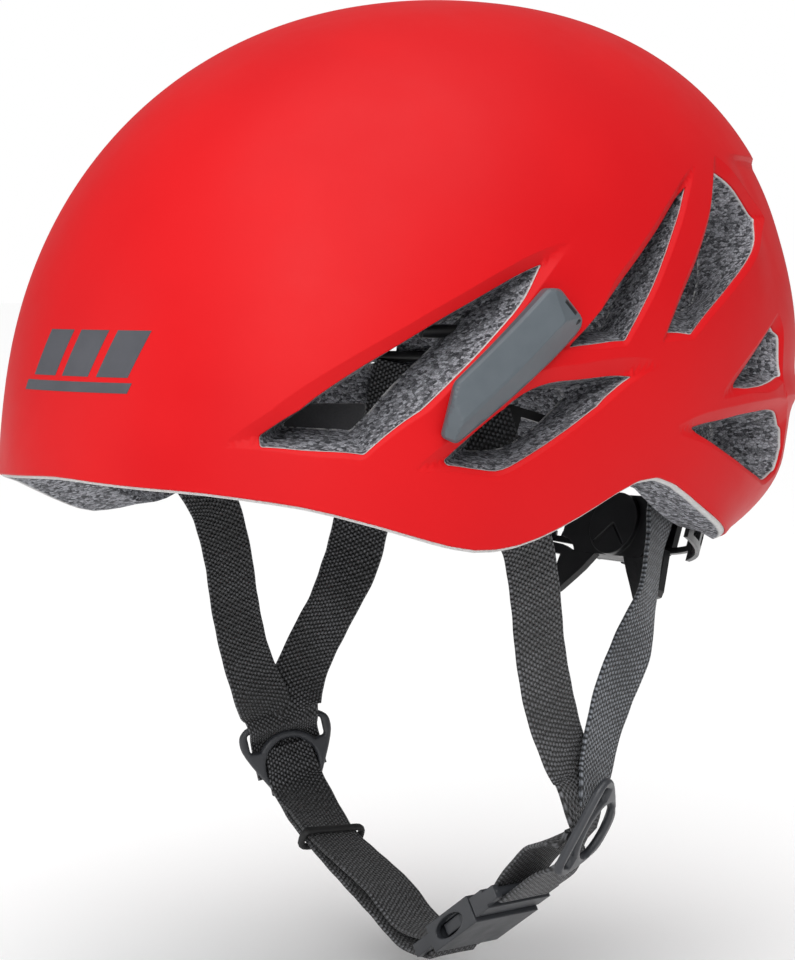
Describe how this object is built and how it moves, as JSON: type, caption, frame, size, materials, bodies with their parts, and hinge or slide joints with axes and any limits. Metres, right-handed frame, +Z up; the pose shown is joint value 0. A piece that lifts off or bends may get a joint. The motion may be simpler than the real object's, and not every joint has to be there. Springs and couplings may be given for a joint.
{
  "type": "climbing helmet",
  "caption": "Climbing helmet: vented hard shell over a foam liner, with headlamp clips, chin webbing, side-release buckle and a turn-dial head cradle.",
  "frame": {"origin": "centre of the head opening, just under the front rim, where the head is held", "axes": "-Y is the front, +X the wearer's left, +Z up"},
  "size_m": [0.2228, 0.2792, 0.3084],
  "materials": {
    "shell_red": "matt moulded polycarbonate",
    "foam": "speckled expanded foam",
    "slate_plastic": "satin",
    "black_plastic": "satin",
    "webbing_black": "woven",
    "webbing_grey": "woven",
    "pad": "brushed padding",
    "rubber": "matt",
    "spring_steel": "bright",
    "screw_steel": "blackened"
  },
  "bodies": {
    "helmet": {"outer_shell": "shell_red", "foam_liner": "foam", "front_mark": "slate_plastic", "brow_pad": "pad", "crown_pad": "pad", "front_anchor_left": "black_plastic", "front_anchor_right": "black_plastic", "rear_anchor_left": "black_plastic", "rear_anchor_right": "black_plastic", "front_strap_left": "webbing_black", "front_strap_right": "webbing_black", "rear_strap_left": "webbing_grey", "rear_strap_right": "webbing_black", "divider_left": "slate_plastic", "divider_right": "slate_plastic", "chin_loop_left": "webbing_black", "chin_strap_right": "webbing_black", "keeper_ring": "rubber", "buckle_male": "slate_plastic", "clip_posts": "black_plastic", "temple_pins": "black_plastic"},
    "prong_front": {"prong_front": "slate_plastic"},
    "prong_rear": {"prong_rear": "slate_plastic"},
    "buckle_socket": {"buckle_female": "slate_plastic"},
    "clip_left": {"clip_left": "slate_plastic"},
    "clip_right": {"clip_right": "slate_plastic"},
    "clip_rear": {"clip_rear": "slate_plastic"},
    "cradle": {"cradle_housing": "black_plastic", "housing_cover": "black_plastic", "click_spring": "spring_steel", "cradle_screws": "screw_steel", "nape_loops": "black_plastic"},
    "arm_left": {"arm_left": "black_plastic"},
    "arm_right": {"arm_right": "black_plastic"},
    "dial": {"dial_knob": "black_plastic", "dial_pinion": "black_plastic"}
  },
  "joints": [
    {"name": "cradle_tilt", "type": "hinge", "parent": "helmet", "child": "cradle", "pos_m": [0, 0.0092, 0.01], "axis": [1, 0, 0], "range_deg": [-7, 5]},
    {"name": "dial_turn", "type": "hinge", "parent": "cradle", "child": "dial", "pos_m": [0, 0.10411, -0.0245], "axis": [0, -0.9397, 0.342], "range_deg": [-45, 225]},
    {"name": "arm_left_slide", "type": "hinge", "parent": "cradle", "child": "arm_left", "pos_m": [0, 0.028, 0.0032], "axis": [0, 0.342, 0.9397], "range_deg": [-2.9, 14]},
    {"name": "arm_right_slide", "type": "hinge", "parent": "cradle", "child": "arm_right", "pos_m": [0, 0.028, 0.0032], "axis": [0, -0.342, -0.9397], "range_deg": [-2.9, 14]},
    {"name": "clip_left_lift", "type": "hinge", "parent": "helmet", "child": "clip_left", "pos_m": [0.10715, -0.02674, 0.05305], "axis": [-0.1811, -0.6401, 0.7466], "range_deg": [0, 24], "stiffness_Nm_per_rad": 0.05},
    {"name": "clip_right_lift", "type": "hinge", "parent": "helmet", "child": "clip_right", "pos_m": [-0.10715, -0.02674, 0.05305], "axis": [-0.1811, 0.6401, -0.7466], "range_deg": [0, 24], "stiffness_Nm_per_rad": 0.05},
    {"name": "clip_rear_lift", "type": "hinge", "parent": "helmet", "child": "clip_rear", "pos_m": [0, 0.14194, 0.07162], "axis": [1, 0, 0], "range_deg": [0, 24], "stiffness_Nm_per_rad": 0.05},
    {"name": "buckle_release", "type": "slide", "parent": "helmet", "child": "buckle_socket", "axis": [-0.8332, 0.0301, -0.5521], "range_m": [0, 0.022], "deforming": ["chin_strap_right", "prong_front", "prong_rear"]},
    {"name": "prong_front_press", "type": "hinge", "parent": "helmet", "child": "prong_front", "pos_m": [0.03993, 0.0044, -0.13526], "axis": [0.5524, 0, -0.8336], "range_deg": [0, 7], "stiffness_Nm_per_rad": 0.02},
    {"name": "prong_rear_press", "type": "hinge", "parent": "helmet", "child": "prong_rear", "pos_m": [0.04024, 0.0168, -0.13505], "axis": [-0.5524, 0, 0.8336], "range_deg": [0, 7], "stiffness_Nm_per_rad": 0.02}
  ],
  "couplings": [
    {"joint": "arm_left_slide", "follows": "dial_turn", "ratio": 0.061728},
    {"joint": "arm_right_slide", "follows": "dial_turn", "ratio": 0.061728}
  ]
}
